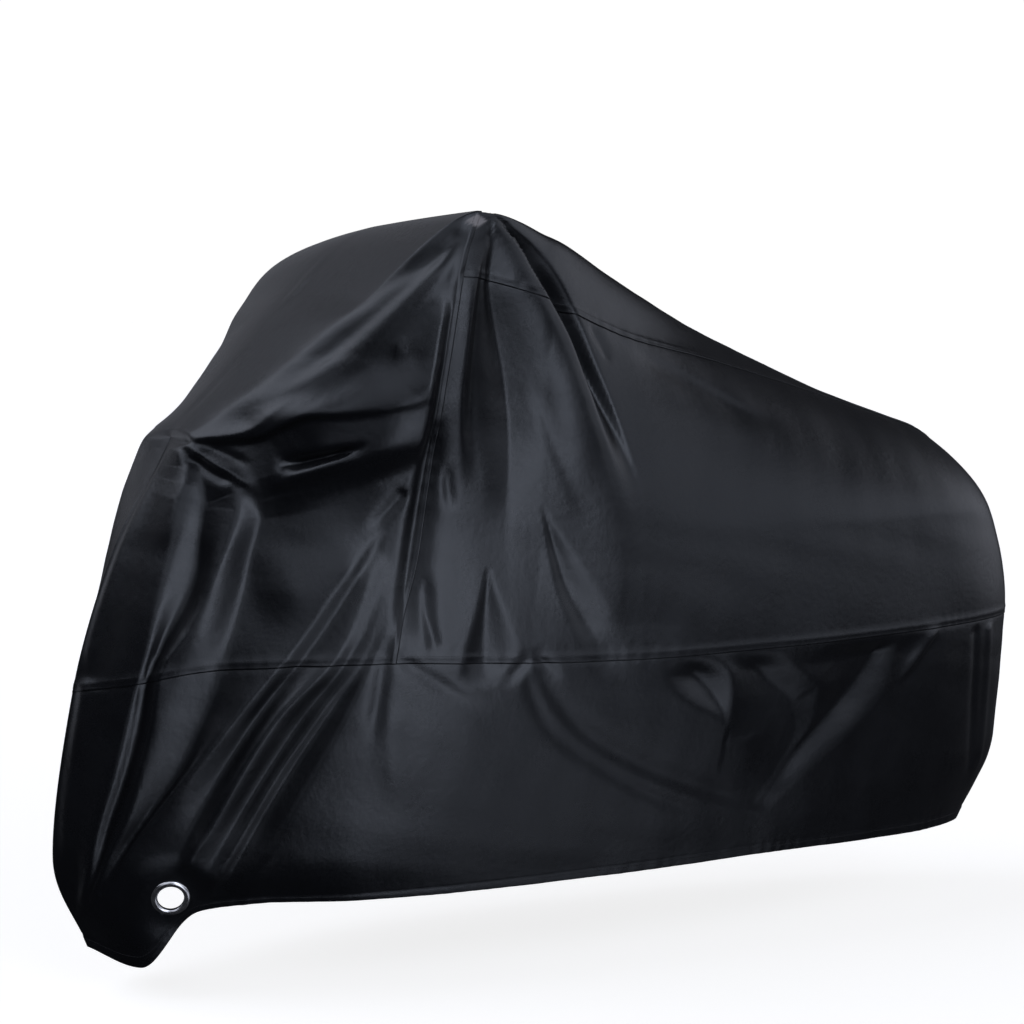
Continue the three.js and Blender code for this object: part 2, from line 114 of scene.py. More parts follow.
def guide_net(on_right):
    """Guide points of one side, (stations, levels, 3). The lower levels follow one plan outline scaled
    to each level's ends and half width, and the upper ones are given. The right one's differ at the peak."""
    along, breadth = STATIONS[:, :1], STATIONS[:, 1:2]
    nose_x, tail_x, half, nose_z, tail_z, blunt = LOWER_LEVELS.T
    lower = np.stack([
        nose_x + along * (tail_x - nose_x),
        half * breadth ** blunt,
        nose_z + along * (tail_z - nose_z),
    ], axis=-1)
    place = along[:, 0]
    lower[:, 0, 2] = HEM_HEIGHT - HEM_DIP * bell(place, HEM_DIP_AT, HEM_DIP_REACH)
    lower[:, 0, 2] -= HEM_TAIL_DROP * ease(place, HEM_TAIL_FROM, 1)
    belt_rise = BELT_RISE * bell(place, BELT_RISE_AT, BELT_RISE_REACH)
    lower[:, 2, 2] += belt_rise - BELT_DIP * bell(place, 0, BELT_DIP_REACH)
    upper = STATIONS[:, 2:8].reshape(-1, 2, 3).copy()
    near_peaks = bell(along, STATIONS[PEAKS, 0], PEAK_REACH)
    ridge = np.concatenate([upper[:, 1, :1] - RIDGE_FORWARD * near_peaks, 0 * along, STATIONS[:, 8:]], axis=1)
    if on_right:
        upper += near_peaks[:, None] * PEAK_TURN
    net = np.concatenate([lower, upper, ridge[:, None]], axis=1)
    if on_right:
        net[BROW, 3:6] += BROW_PUSH
    net[..., 1] *= 1 if on_right else -1
    return net


GUIDE_SHARES = np.concatenate([LEVEL_SHARES, 2 - LEVEL_SHARES[-2::-1]])
GUIDES = np.concatenate([guide_net(False), guide_net(True)[:, -2::-1]], axis=1)


def skin(stations, shares):
    """Unfolded cloth on a grid: each guide line is a smooth curve over the stations, and each section a
    smooth curve over the shares, up the left side, over the ridge at 1 and down the right side to 2."""
    lines = smooth_curve(np.arange(len(STATIONS)), GUIDES, np.asarray(stations, float))
    sections = smooth_curve(GUIDE_SHARES, np.swapaxes(lines, 0, 1), np.asarray(shares, float))
    return np.swapaxes(sections, 0, 1)


def unit(vectors):
    """Vectors scaled to length 1."""
    return vectors / np.maximum(np.linalg.norm(vectors, axis=-1, keepdims=True), 1e-9)


def outward(stations, shares):
    """Unit normals of the unfolded cloth: the cross product of its slopes along and up, kept in the
    centre plane on the nose and tail lines, where the two sides meet."""
    step, edge, centre_band = 0.004, 0.02, 20
    stations = np.clip(stations, NOSE + edge, TAIL - edge)
    shares = np.clip(shares, step, 2 - step)
    along = skin(stations + step, shares) - skin(stations - step, shares)
    up = skin(stations, shares + step) - skin(stations, shares - step)
    normal = unit(np.cross(along, up))
    normal[..., 1] *= ease(np.abs(skin(stations, shares)[..., 1]), 0, centre_band)
    return unit(normal)


def drawn(points, steps=28):
    """A smooth line through given points, as a row of evenly spaced ones."""
    points = np.array(points, float)
    knots = np.concatenate([[0], np.cumsum(np.linalg.norm(np.diff(points[:, :2], axis=0), axis=1))])
    return smooth_curve(knots, points, np.linspace(0, knots[-1], steps))


def pleat(soft, *points):
    """One edge of a pleat group, from its top down: side-view points x, z in mm with the height of the
    cloth there. soft: 1 rounds the cloth over the edge, and 0 leaves it sharp."""
    return dict(line=drawn(points), soft=soft)


def fold(depth, widths, *points, crisp=0, ends=(0.12, 0.3), taper=(1, 1)):
    """One lone fold, drawn on the side view in mm. depth: out of the cloth if positive. widths: half
    widths below or left of its line, and above or right of it. crisp: 1 sharpens it. ends: the shares of
    its length over which it fades in and out. taper: what the widths are multiplied by at its two ends."""
    return dict(line=drawn(points), depth=depth, widths=widths, crisp=crisp, ends=ends, taper=taper)


# Pleats that spread from the left peak: the seam, a thin crest, a valley, a broad crest, then a crevice
# with a steep right wall
PEAK_PLEATS = [
    pleat(0.5, (370, 1410, 0), (345, 1310, 0), (330, 1210, 0), (310, 1090, 0), (290, 940, 0), (275, 700, 0)),
    pleat(0.3, (420, 1400, 0), (395, 1305, 9), (390, 1240, 11), (385, 1130, 11), (395, 1020, 4),
          (405, 940, 0), (410, 700, 0)),
    pleat(0.8, (430, 1400, -1), (420, 1310, -7), (415, 1185, -9), (420, 1070, -7),
          (440, 940, 0), (440, 700, 0)),
    pleat(0, (440, 1410, -4), (440, 1350, -14), (465, 1255, -23), (495, 1130, -24), (500, 1070, -20),
          (495, 940, -5), (490, 865, 0), (490, 700, 0)),
    pleat(0.7, (460, 1431, 4), (484, 1402, 9), (510, 1352, 17), (543, 1300, 24), (588, 1226, 30),
          (631, 1130, 33), (685, 998, 24), (715, 900, 16), (726, 800, 9), (716, 690, 0)),
    pleat(0.8, (466, 1433, 3), (496, 1410, 8), (523, 1360, 15), (556, 1309, 22), (602, 1234, 28),
          (646, 1136, 30), (700, 1004, 22), (732, 900, 15), (744, 800, 8), (734, 690, 0)),
    pleat(0.6, (474, 1434, -6), (534, 1379, -24), (590, 1325, -35), (645, 1256, -36), (674, 1190, -33),
          (704, 1122, -22), (742, 1020, 2), (766, 940, 10), (776, 800, 7), (764, 690, 0)),
    pleat(0.5, (487, 1437, 0), (558, 1398, 0), (612, 1342, 0), (665, 1270, -1), (692, 1202, -1),
          (720, 1130, 1), (756, 1020, 8), (782, 940, 10), (794, 800, 6), (782, 690, 0)),
    pleat(1, (540, 1430, 0), (720, 1375, 0), (860, 1260, 0), (940, 1050, 0), (940, 875, 0), (940, 700, 0)),
]
# The taut facet of the hood from its crest down to the deep crease, and the lip under the crease, each
# line from the seam to the brow
HOOD_PLEATS = [
    pleat(0.7, (373, 1392, 0), (273, 1282, 0), (223, 1213, 0), (121, 1134, 0), (35, 1095, 0), (-25, 1070, 0)),
    pleat(0.8, (350, 1142, 20), (305, 1124, 27), (195, 1102, 32), (143, 1096, 28), (102, 1077, 20),
          (60, 1053, 10), (0, 1046, 3), (-28, 1045, 0)),
    pleat(0.2, (350, 1132, 17), (310, 1116, 23), (195, 1092, 25), (143, 1086, 17), (102, 1067, 6),
          (64, 1045, -2), (18, 1041, -4), (-25, 1041, 0)),
    pleat(0.6, (340, 1062, 18), (242, 1038, 28), (197, 1023, 28), (142, 998, 21), (101, 984, 12),
          (60, 980, 4), (20, 995, 1), (-27, 1034, 0)),
    pleat(0.9, (330, 1000, 0), (235, 962, 0), (150, 925, 0), (90, 890, 0), (10, 950, 0), (-28, 1030, 0)),
]
# Pleats of the nose and of the front skirt below it, each ridge followed by the foot of its right flank
NOSE_PLEATS = [
    pleat(0.5, (-35, 1045, 0), (-105, 920, 0), (-170, 785, 0), (-215, 650, 0),
          (-248, 400, 0), (-240, 180, 0)),
    pleat(0.6, (-40, 1025, 0), (-36, 985, 7), (-55, 940, 13), (-90, 805, 15), (-135, 625, 13),
          (-160, 535, 13), (-180, 440, 13), (-210, 325, 11), (-230, 190, 3)),
    pleat(0.6, (-36, 1032, 0), (-24, 990, -2), (-24, 955, -9), (-36, 900, -14), (-48, 820, -15),
          (-108, 680, -10), (-138, 595, -3), (-145, 540, -3), (-168, 440, -3),
          (-200, 325, -3), (-225, 195, 0)),
    pleat(0.5, (-34, 1035, 0), (0, 985, 2), (28, 940, 6), (14, 880, 12), (-10, 820, 15), (-55, 710, 14),
          (-110, 620, 14), (-118, 550, 15), (-142, 445, 14), (-165, 355, 12), (-200, 268, 8), (-220, 195, 3)),
    pleat(0.7, (-32, 1038, 0), (32, 985, 2), (48, 950, -4), (60, 908, -12), (44, 855, -16), (28, 790, -19),
          (-2, 690, -18), (-42, 562, -15), (-82, 455, -12), (-128, 372, -10),
          (-170, 300, -7), (-206, 212, -2)),
    pleat(0.7, (272, 930, 0), (220, 840, 4), (150, 740, 6), (46, 600, 8), (-22, 508, 8), (-92, 412, 7),
          (-146, 330, 3), (-190, 240, 0)),
    pleat(0.7, (272, 890, 0), (222, 808, -2), (132, 668, -7), (46, 552, -12), (-14, 446, -12), (-58, 358, -9),
          (-114, 234, 0)),
    pleat(0.5, (268, 862, 0), (224, 774, 2), (168, 654, 7), (78, 552, 15), (16, 446, 15), (-24, 364, 13),
          (-66, 276, 6), (-84, 224, 0)),
    pleat(0.5, (266, 808, 0), (220, 696, -2), (190, 646, -5), (122, 552, -11), (58, 446, -12), (16, 368, -10),
          (-50, 234, 0)),
    pleat(0.7, (260, 776, 0), (218, 672, -1), (142, 552, -4), (82, 452, -4), (6, 296, -3), (-32, 216, 0)),
    pleat(0.8, (256, 736, 0), (220, 642, -3), (158, 548, -11), (96, 442, -12), (52, 360, -12), (10, 274, -10),
          (-22, 202, -3)),
    pleat(0.9, (254, 698, 0), (222, 632, 0), (180, 530, 2), (122, 408, 3), (76, 304, 2), (40, 210, 0)),
    pleat(1, (254, 682, 0), (254, 598, 0), (232, 466, 0), (188, 292, 0), (154, 182, 0)),
]
# A three-cornered dip on the low side that widens down to the belt seam, and a narrow one behind it
LOW_PLEATS = [
    pleat(0.6, (452, 815, 0), (430, 740, 0), (402, 665, 0), (380, 600, 0)),
    pleat(0.9, (453, 806, -2), (446, 740, -9), (440, 665, -13), (438, 600, -14)),
    pleat(1, (456, 806, 0), (482, 740, 0), (515, 665, 0), (540, 600, 0)),
    pleat(0.8, (564, 902, 0), (576, 835, 0), (590, 763, 0), (612, 704, 0), (630, 660, 0), (650, 600, 0)),
    pleat(0.8, (568, 898, -2), (588, 835, -7), (612, 763, -9), (645, 704, -8),
          (672, 660, -5), (690, 600, -3)),
    pleat(1, (576, 900, 0), (626, 835, 0), (678, 763, 0), (716, 704, 0), (740, 660, 0), (755, 600, 0)),
]
# Flat slack facets of the rear skirt, which hang from the belt seam
REAR_PLEATS = [
    pleat(0.7, (785, 645, 0), (820, 570, 0), (870, 530, 0), (962, 484, 0)),
    pleat(0.6, (850, 645, -6), (865, 630, -10), (906, 574, -15), (940, 536, -11), (972, 492, -2)),
    pleat(0.3, (918, 640, 1), (978, 570, 3), (984, 532, 2), (980, 478, 0)),
    pleat(0.4, (998, 634, -9), (1024, 610, -13), (1076, 558, -17), (1150, 500, -15), (1170, 440, -15),
          (1140, 380, -13), (1100, 330, -6), (1068, 290, 0)),
    pleat(0.4, (1088, 634, -3), (1122, 594, -4), (1174, 558, -5), (1216, 520, -9), (1214, 455, -14),
          (1165, 385, -13), (1115, 325, -5), (1080, 284, 0)),
    pleat(0.2, (1396, 630, -16), (1378, 576, -25), (1320, 510, -25), (1262, 462, -21), (1204, 416, -17),
          (1150, 365, -12), (1110, 320, -5), (1085, 280, 0)),
    pleat(0.9, (1446, 630, -6), (1438, 576, -9), (1418, 508, -7), (1354, 444, -5), (1256, 380, -1),
          (1180, 330, 0), (1120, 275, 0)),
    pleat(1, (1592, 630, 0), (1590, 502, 0), (1556, 356, 0), (1396, 290, 0)),
]
# Lone folds of the left side: beside the peak's pleats and low on the side, on the hood and nose, and
# on the skirt, with its two long sags and the tail
SIDE_FOLDS = [
    fold(-13, (12, 30), (341, 1110), (330, 1000), (321, 925), (300, 789), (280, 659), ends=(0.2, 0.2)),
    fold(-2.5, (14, 28), (533, 1187), (584, 1044), (640, 925), (683, 873), taper=(0.7, 1.3), ends=(0.3, 0.4)),
    fold(-5, (7, 16), (690, 1264), (714, 1225), (740, 1180), crisp=0.3, ends=(0.3, 0.4)),
    fold(-5, (9, 12), (337, 813), (333, 741), (345, 656), ends=(0.35, 0.15)),
    fold(-4, (9, 12), (371, 1012), (376, 959), (386, 911), ends=(0.4, 0.4)),
    fold(-6, (26, 15), (780, 1222), (900, 1170), (1010, 1120), (1110, 1072), (1190, 1050), ends=(0.3, 0.4)),
]
HOOD_FOLDS = [
    fold(7, (22, 7), (350, 1315), (338, 1253), (330, 1180), (320, 1120), ends=(0.25, 0.2)),
    fold(5, (8, 14), (-30, 1045), (16, 1051), (61, 1065), (89, 1093), (129, 1128),
         crisp=0.6, ends=(0.05, 0.3)),
    fold(-24, (9, 11), (85, 1000), (124, 1009), (178, 1025), (235, 1046), crisp=0.3, taper=(1.3, 0.5),
         ends=(0.25, 0.4)),
    fold(4, (15, 8), (69, 955), (101, 977), (142, 996), (197, 1019), (242, 1029), crisp=0.5, ends=(0.2, 0.3)),
    fold(7, (30, 18), (373, 1392), (273, 1282), (223, 1213), (121, 1134), (35, 1095), (-25, 1070)),
    fold(-7, (18, 13), (385, 1432), (323, 1380), (259, 1334), (185, 1258)),
    fold(-6, (15, 11), (357, 1408), (276, 1318), (179, 1212), (80, 1125)),
    fold(-3.5, (22, 26), (318, 1218), (275, 1192), (225, 1165), ends=(0.35, 0.4)),
    fold(3, (9, 9), (272, 1240), (275, 1190), ends=(0.4, 0.4)),
]
NOSE_FOLDS = [
    fold(9, (9, 15), (-32, 1043), (-93, 936), (-139, 848), (-167, 783), (-203, 692), (-227, 603), crisp=0.7,
         ends=(0.05, 0.15)),
    fold(7, (7, 9), (-32, 1039), (-5, 1005), (28, 979), (43, 964), (43, 935), crisp=0.8, ends=(0.05, 0.3)),
    fold(-6, (9, 9), (-13, 1036), (18, 1019), (51, 995), ends=(0.2, 0.4)),
    fold(-7, (10, 8), (-30, 1017), (-4, 988), (24, 967), ends=(0.2, 0.3)),
    fold(14, (58, 64), (30, 765), (120, 785), (200, 815), (260, 850), ends=(0.35, 0.3)),
    fold(-5, (13, 12), (296, 960), (290, 947), (257, 904), (234, 869), ends=(0.1, 0.4)),
]
SKIRT_FOLDS = [
    fold(6, (22, 28), (-214, 619), (-233, 527), (-251, 424), (-257, 322), (-257, 243), ends=(0.1, 0.2)),
    fold(-4, (14, 14), (258, 690), (241, 576), (228, 480), ends=(0.3, 0.4)),
    fold(3, (22, 30), (272, 594), (265, 501), (287, 359), ends=(0.3, 0.4)),
    fold(5, (6, 6), (-78, 252), (-62, 300), (-40, 340), ends=(0.2, 0.5)),
    fold(-4, (16, 24), (535, 665), (557, 606), (635, 501), (717, 442), (932, 346), (1080, 298), (1284, 247),
         ends=(0.08, 0.35)),
    fold(-2.5, (14, 16), (522, 655), (533, 586), (574, 505), (667, 432), (892, 313), (1039, 274),
         ends=(0.1, 0.35)),
    fold(-5, (14, 12), (538, 655), (502, 610), (466, 581), ends=(0.3, 0.6)),
    fold(-4, (10, 12), (530, 652), (579, 610), (606, 586), ends=(0.3, 0.6)),
    fold(-4, (14, 12), (262, 660), (343, 606), (402, 568), (461, 536), ends=(0.2, 0.5)),
    fold(6, (16, 10), (1562, 628), (1489, 552), (1440, 505), ends=(0.25, 0.4)),
    fold(-5, (16, 12), (1698, 612), (1714, 484), (1734, 350), (1747, 242), ends=(0.05, 0.2)),
    fold(4, (13, 14), (1752, 612), (1770, 477), (1777, 354), (1773, 249), ends=(0.05, 0.2)),
]
LEFT_FOLDS = SIDE_FOLDS + HOOD_FOLDS + NOSE_FOLDS + SKIRT_FOLDS
# Folds of the right side, which hangs from a lower peak. Its small folds follow the left side's.
SMALL_FOLD = 9
RIGHT_FOLDS = [
    fold(-14, (16, 34), (365, 1345), (340, 1150), (340, 950)),
    fold(20, (30, 34), (400, 1320), (455, 1105), (540, 900), taper=(0.8, 1.2)),
    fold(-28, (18, 40), (430, 1350), (545, 1110), (700, 880)),
    fold(15, (34, 36), (520, 1310), (660, 1080), (830, 860), taper=(0.8, 1.3)),
    fold(-12, (44, 24), (900, 1180), (1140, 1040), (1360, 980)),
    fold(-24, (26, 22), (-30, 1020), (140, 1018), (300, 1060), ends=(0.1, 0.12)),
    fold(-12, (30, 24), (610, 630), (880, 350), (1290, 260), ends=(0.06, 0.3)),
    *[row for row in LEFT_FOLDS if abs(row["depth"]) < SMALL_FOLD],
]
# The right side's pleats are the left side's, shallower and set a little further forward
RIGHT_PLEAT_SHARE, RIGHT_NOSE_FORWARD, RIGHT_REAR_FORWARD = 0.5, 15, 120
FOLD_CENTRE_FADE, PLEAT_MARGIN = 26, 150
FOLD_REACH, CREST_ROUND, SOFT_POWER, CRISP_POWER = 3, 4, 2, 1.2


def from_line(line, x, z):
    """How far side-view points lie right of a downward line, or above one that runs back, and the share
    of its length at which each comes nearest to it."""
    step = np.diff(line, axis=0)
    off = np.stack([x, z], axis=-1)[:, None] - line[:-1]
    t = np.clip((off * step).sum(axis=-1) / (step ** 2).sum(axis=-1), 0, 1)
    off = off - t[..., None] * step
    nearest = (off ** 2).sum(axis=-1).argmin(axis=1)
    pick = np.arange(len(nearest))
    off, t, step = off[pick, nearest], t[pick, nearest], step[nearest]
    side = np.sign(step[:, 0] * off[:, 1] - step[:, 1] * off[:, 0])
    return np.linalg.norm(off, axis=-1) * side, (nearest + t) / (len(line) - 1)


def pleat_height(group, x, z):
    """Height of a pleat group at side-view points. Between two edges the height runs from one's to the
    other's as a cubic, flat at a soft edge and straight at a sharp one. Outside the group it is 0."""
    total = np.zeros(x.shape)
    corners = np.concatenate([row["line"] for row in group])
    low, high = corners.min(axis=0) - PLEAT_MARGIN, corners.max(axis=0) + PLEAT_MARGIN
    near = (x > low[0]) & (x < high[0]) & (z > low[1]) & (z < high[1])
    inside, before = total[near], None
    for row in group:
        line = row["line"]
        distance, share = from_line(line[:, :2], x[near], z[near])
        height = np.interp(share, np.linspace(0, 1, len(line)), line[:, 2])
        if before is not None:
            last_distance, last_height, last_soft = before
            between = (last_distance >= 0) & (distance < 0)
            t = np.where(between, last_distance / np.maximum(last_distance - distance, 1e-6), 0)
            leave, arrive = (1 - last_soft) * t * (1 - t) ** 2, (1 - row["soft"]) * t * t * (t - 1)
            rise = t * t * (3 - 2 * t) + leave + arrive
            inside = np.where(between, last_height + (height - last_height) * rise, inside)
        before = distance, height, row["soft"]
    total[near] = inside
    return total


def fold_height(folds, x, z):
    """Height of lone folds at side-view points: for each, its depth times a fade along its line times
    exp(-(d / w)^p) across it, with the half width w of that side and p from 2, soft, to 1.2, crisp."""
    total = np.zeros(x.shape)
    for row in folds:
        line, (below, above) = row["line"], row["widths"]
        reach = FOLD_REACH * max(below, above) * max(row["taper"])
        low, high = line.min(axis=0) - reach, line.max(axis=0) + reach
        near = (x > low[0]) & (x < high[0]) & (z > low[1]) & (z < high[1])
        distance, share = from_line(line, x[near], z[near])
        first, last = row["taper"]
        width = np.where(distance > 0, above, below) * (first * (1 - share) + last * share)
        distance = np.sqrt(distance ** 2 + CREST_ROUND * row["crisp"]) / width
        start, end = row["ends"]
        fade = ease(share, 0, start) * (1 - ease(share, 1 - end, 1))
        power = SOFT_POWER - (SOFT_POWER - CRISP_POWER) * row["crisp"]
        total[near] += row["depth"] * fade * np.exp(-distance ** power)
    return total


def left_height(x, z, hang, ahead):
    """Fold height on the left side. hang fades the rear facets out towards the belt seam, and ahead the
    hood's facet towards the upright seam."""
    pleats = pleat_height(PEAK_PLEATS, x, z) + pleat_height(NOSE_PLEATS, x, z)
    pleats = pleats + ahead * pleat_height(HOOD_PLEATS, x, z) + (1 - hang) * pleat_height(LOW_PLEATS, x, z)
    return fold_height(LEFT_FOLDS, x, z) + pleats + hang * pleat_height(REAR_PLEATS, x, z)


def right_height(x, z, hang, ahead):
    """Fold height on the right side, with the left side's nose and rear pleats moved forward."""
    nose = pleat_height(NOSE_PLEATS, x + RIGHT_NOSE_FORWARD, z) + ahead * pleat_height(HOOD_PLEATS, x, z)
    rear = hang * pleat_height(REAR_PLEATS, x + RIGHT_REAR_FORWARD, z)
    return fold_height(RIGHT_FOLDS, x, z) + RIGHT_PLEAT_SHARE * (nose + rear)


# Seams: the cloth is drawn in along the thread, and puckers beside it. A span turns a place on the skin
# into mm from its seam. A groove has its place, reach and depth, and puckers have a reach and a height.
LAP, UPRIGHT_LAP, LAP_REACH = 1.5, 2.2, 8
BELT_SPAN, SEAM_SPAN, UPRIGHT_SPAN, HEM_SPAN = 1250, 1500, 230, 1100
BELT_GROOVE, SEAM_GROOVE, UPRIGHT_GROOVE = (-4, 6, -1.0), (-3, 6, -0.8), (8, 8, -0.4)
BELT_PUCKERS, SEAM_PUCKERS, UPRIGHT_PUCKERS = (18, 0.35), (14, 0.5), (22, 0.5)
UPRIGHT_EDGE, BELT_EDGE = 0.01, 0.004
# The turned hem: its width, its step, the share of its width where that starts, its groove and puckers
HEM_BAND, HEM_STEP, HEM_STEP_FROM, HEM_GROOVE, HEM_PUCKER = 22, 1.2, 0.85, 0.003, 0.4
# Lengths of the puckers' waves: the short wave, its wander and its swell
LEVEL_WAVES, UPRIGHT_WAVES = (5.1, 37, 61), (5.6, 41, 71)


def ripple(place, waves, phase=0):
    """Puckers along a seam: a short sine wave whose beat and height wander with two longer ones."""
    short, wander, swell = waves
    return np.sin(place / short + 2 * np.sin(place / wander)) * (0.6 + 0.4 * np.sin(place / swell + phase))


def sewn(distance, groove, puckers, wave):
    """Cloth across a seam: a bell-shaped groove beside the thread, plus waves under a wider bell."""
    at, reach, depth = groove
    spread, height = puckers
    return bell(distance, at, reach) * depth + bell(distance, 0, spread) * height * wave


def seam_height(stations, shares, x, z):
    """Grooves and puckers of the belt, top and upright seams, and of the turned hem, which is thicker up
    to its own row of stitches."""
    height = np.minimum(shares, 2 - shares)
    behind = ease(stations, PEAKS - UPRIGHT_EDGE, PEAKS + UPRIGHT_EDGE)
    above = ease(height, BELT - BELT_EDGE, BELT + BELT_EDGE)
    wave_x, wave_z = ripple(x, LEVEL_WAVES, 1), ripple(z, UPRIGHT_WAVES)
    belt = sewn((height - BELT) * BELT_SPAN, BELT_GROOVE, BELT_PUCKERS, wave_x)
    top = behind * sewn((height - SEAM) * SEAM_SPAN, SEAM_GROOVE, SEAM_PUCKERS, wave_x)
    upright = above * sewn((stations - PEAKS) * UPRIGHT_SPAN, UPRIGHT_GROOVE, UPRIGHT_PUCKERS, wave_z)
    band = HEM_BAND / HEM_SPAN
    step = 1 - ease(height, HEM_STEP_FROM * band, band)
    hem = HEM_STEP * step - HEM_STEP * bell(height, band, HEM_GROOVE)
    hem = hem + HEM_PUCKER * wave_x * bell(height, 0.5 * band, band)
    return belt + top + upright + hem


WIDE_SLACK, FINE_SLACK = 0.8, 0.4


def slack(x, z):
    """Faint wide waves of slack cloth: products of sines about 30 cm and 15 cm long."""
    wide = np.sin(x / 49 + 0.8 * np.sin(z / 62)) * np.sin(z / 57 + 0.9 * np.sin(x / 83))
    fine = np.sin(x / 23 + z / 31 + 1.1 * np.sin(z / 44)) * np.sin(z / 27 - x / 40)
    return WIDE_SLACK * wide + FINE_SLACK * fine


# Eyelet seats: their places on the skin, and the radii over which the cloth is pulled flat
EYELET_STATION, EYELET_SHARE = 1.77, 0.07
FLAT_INNER, FLAT_OUTER = 44, 92


def eyelet_seat(share):
    """Centre and outward normal of an eyelet on the unfolded cloth, in mm."""
    at = [EYELET_STATION], [share]
    return skin(*at)[0, 0], outward(*at)[0, 0]


EYELET_SEATS = [eyelet_seat(EYELET_SHARE), eyelet_seat(2 - EYELET_SHARE)]
# Where folds fade out: up to the belt seam, over the crest behind the peaks, back to the upright seam,
# and towards the centre plane
HANG_FADE = BELT - 0.035, BELT - 0.004
OVER_FADE, OVER_FROM = (CREST, CREST + 0.06), (PEAKS - 0.4, PEAKS + 0.2)
AHEAD_FADE = PEAKS - 0.14, PEAKS - 0.02
SLACK_CENTRE_FADE = 60


def drape(stations, shares, lift=0):
    """Folded cloth on a grid, in metres in the part's frame, with its fold heights and normals: the skin
    moved along its normals by folds, seams, slack and lift, then pulled flat round the eyelets."""
    stations, shares = np.asarray(stations, float), np.asarray(shares, float)
    points, normals = skin(stations, shares), outward(stations, shares)
    x, y, z = np.moveaxis(points, -1, 0)
    on_left = np.broadcast_to(shares <= 1, x.shape)
    level = np.minimum(shares, 2 - shares)
    hang = np.broadcast_to(1 - ease(level, *HANG_FADE), x.shape)
    over = ease(level, *OVER_FADE) * ease(stations, *OVER_FROM)[:, None]
    ahead = np.broadcast_to(1 - ease(stations, *AHEAD_FADE)[:, None], x.shape)
    heights = np.zeros(x.shape)
    heights[on_left] = left_height(x[on_left], z[on_left], hang[on_left], ahead[on_left])
    heights[~on_left] = right_height(x[~on_left], z[~on_left], hang[~on_left], ahead[~on_left])
    heights = heights * ease(np.abs(y), 0, FOLD_CENTRE_FADE) * (1 - over)
    small = seam_height(stations[:, None], shares[None], x, z)
    small = small + slack(x, z) * ease(np.abs(y), 0, SLACK_CENTRE_FADE)
    points = points + normals * (heights + small)[..., None]
    for centre, normal in EYELET_SEATS:
        off = points - centre
        pull = 1 - ease(np.linalg.norm(off, axis=-1), FLAT_INNER, FLAT_OUTER)
        points = points - (pull * (off @ normal))[..., None] * normal
    points = points + normals * np.broadcast_to(lift, x.shape)[..., None]
    return (points - ORIGIN) * MM, heights, normals


# How far the stations lie apart on the belt's guide line
STATION_LENGTHS = np.linalg.norm(np.diff(GUIDES[:, 2], axis=0), axis=1)


def along_stations(first, last, over=0):
    """Grid stations about one cell apart, with finer steps in the last few mm of each end."""
    inner = [np.linspace(k, k + 1, int(np.ceil(STATION_LENGTHS[k] / CELL)) + 1) for k in range(first, last)]
    fine = np.array([0.2, 0.45, 0.7]) * LAP_REACH / UPRIGHT_SPAN
    values = np.concatenate([*inner, first + fine, last - fine, last + over * np.linspace(0, 1, 4)])
    return np.unique(np.round(values, 6))


# Grid rows between neighbouring levels, from the hem up: closest where the folds are sharpest
LEVEL_ROWS = [28, 52, 38, 72, 26, 36]
LAP_SHARE = LAP_REACH / BELT_SPAN


def up_shares(first, last, under=0):
    """Grid shares from one level to another, with finer steps at both ends and the lap under the first."""
    parts = [
        np.linspace(low, high, rows + 1)
        for low, high, rows in zip(LEVEL_SHARES[:-1], LEVEL_SHARES[1:], LEVEL_ROWS)
        if low >= first and high <= last
    ]
    fine = np.array([0.25, 0.5, 0.75]) * LAP_SHARE
    values = np.concatenate([*parts, first + fine, last - fine, first - under * np.linspace(0, 1, 4)])
    return np.unique(np.round(values, 6))


def both_sides(shares):
    """Left shares and their mirror images, as one run over the ridge."""
    return np.unique(np.round(np.concatenate([shares, 2 - shares]), 6))


# Cloth that laps over a seam rises over these mm before it
LAP_RISE, UPRIGHT_RISE = (-12, -1), (-14, -1)


def level_lap(shares, seam, span):
    """Lift of the cloth that laps over a level seam, in mm: none well above it, all at the seam and below."""
    return ease((seam - np.minimum(shares, 2 - shares)) * span, *LAP_RISE) * LAP


def upright_lap(stations):
    """Lift of the cloth that laps over the upright seam, in mm: none well before it, all at the seam."""
    return ease((stations - PEAKS) * UPRIGHT_SPAN, *UPRIGHT_RISE) * UPRIGHT_LAP


# A small pale patch at the left peak: a painted highlight, the glint on the cloth stretched taut over the
# peak
PATCH_X, PATCH_Z, PATCH_WIDE, PATCH_HIGH, PATCH_EDGE = 407, 1446, 22, 13, (0.8, 1.1)


def painted_highlight_patch(points):
    """How strong the painted highlight at the left peak is: 1 inside a soft-edged rhombus there, and 0
    elsewhere.
    """
    x, y, z = (points / MM + ORIGIN).T
    away = np.abs(x - PATCH_X) / PATCH_WIDE + np.abs(z - PATCH_Z) / PATCH_HIGH
    return (1 - ease(away, *PATCH_EDGE)) * (y < 0)


def new_mesh(name, points, faces):
    """A mesh from arrays of points and faces."""
    mesh = bpy.data.meshes.new(name)
    mesh.from_pydata(points.tolist(), [], faces.tolist())
    return mesh


def merge_doubles(mesh, distance, recalculate=False):
    """Merges points closer than a distance in mm, and where asked turns all faces outwards."""
    work = bmesh.new()
    work.from_mesh(mesh)
    bmesh.ops.remove_doubles(work, verts=work.verts, dist=distance * MM)
    if recalculate:
        bmesh.ops.recalc_face_normals(work, faces=work.faces)
    work.to_mesh(mesh)
    work.free()


def new_piece(mesh, finish):
    """An object in the scene with a finished mesh and its material."""
    mesh.materials.append(finish)
    piece = bpy.data.objects.new(mesh.name, mesh)
    bpy.context.collection.objects.link(piece)
    return piece


